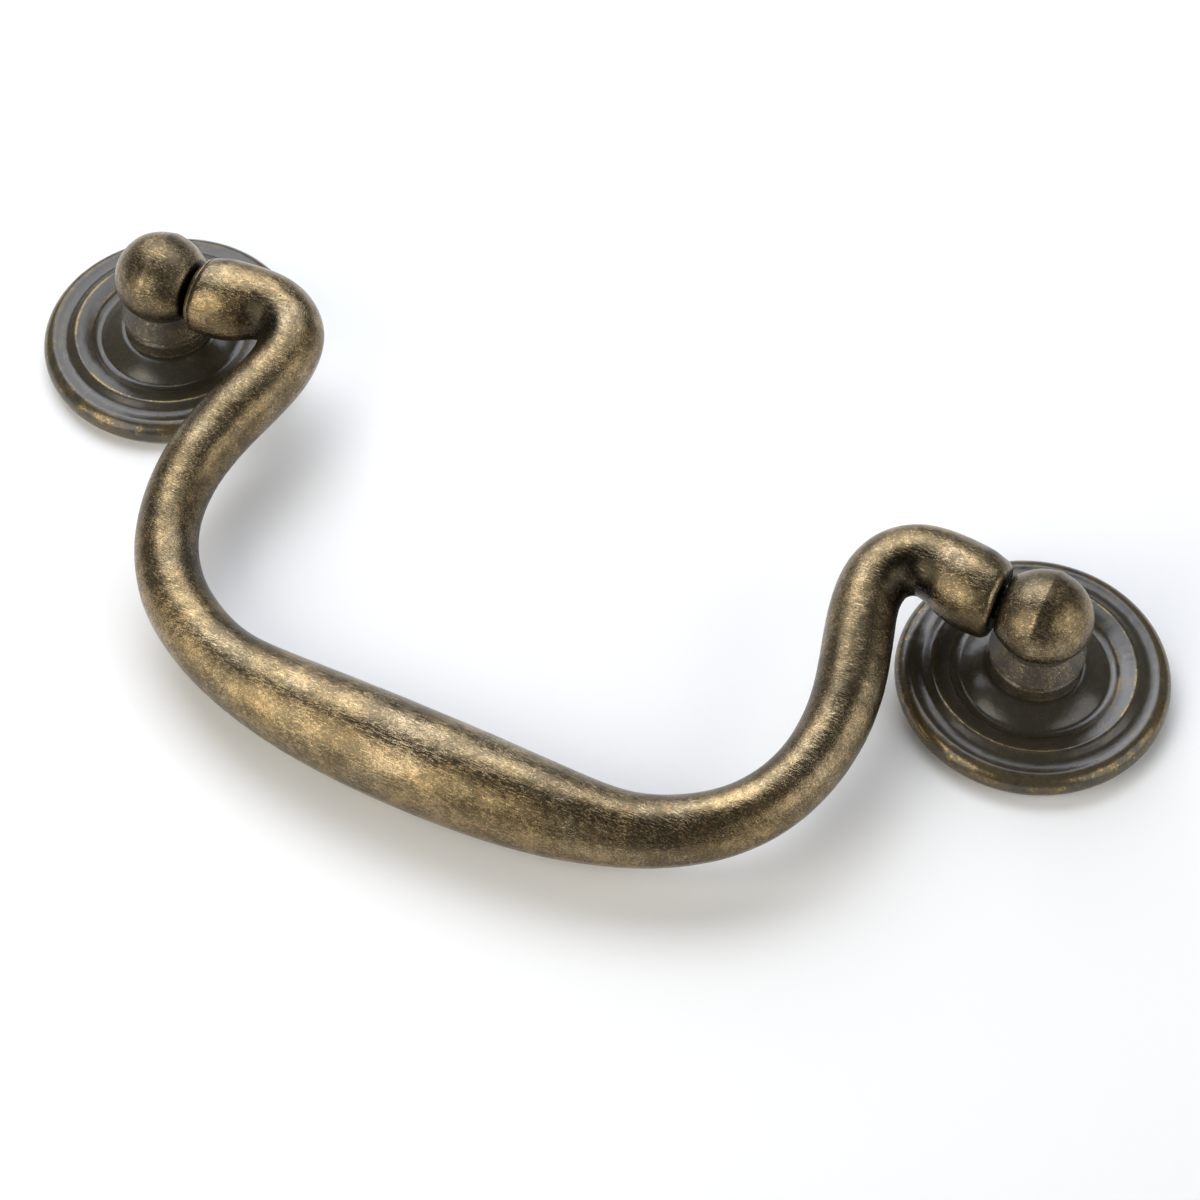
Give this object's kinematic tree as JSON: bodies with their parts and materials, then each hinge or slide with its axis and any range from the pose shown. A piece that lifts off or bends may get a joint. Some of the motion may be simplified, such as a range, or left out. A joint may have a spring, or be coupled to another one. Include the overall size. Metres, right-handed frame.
{
  "type": "bail pull",
  "caption": "Swan-neck bail pull: a bowed round-bar handle that hinges in ball-headed posts, each seated on a ringed rosette.",
  "frame": {"origin": "midway between the posts, on the plane of the drawer front (the backs of the rosettes)", "axes": "+X along the pivot line towards the right post, +Z out of the drawer front, and the grip hangs towards -Y"},
  "size_m": [0.1226, 0.0546, 0.0158],
  "materials": {
    "bail_brass": "antique brass, brushed and worn back on the high spots, with a dark mottled patina",
    "post_brass": "antique brass casting with a faint parting seam and a dark patina in the groove",
    "rosette_brass": "smooth dark bronze patina, semi-gloss, rubbed through to brass on the ridges"
  },
  "bodies": {
    "base": {"left_post": "post_brass", "right_post": "post_brass", "left_rosette": "rosette_brass", "right_rosette": "rosette_brass"},
    "bail": {"bail": "bail_brass"}
  },
  "joints": [
    {"name": "bail_hinge", "type": "hinge", "parent": "base", "child": "bail", "pos_m": [0, 0, 0.01095], "axis": [-1, 0, 0], "range_deg": [0, 198.5]}
  ]
}
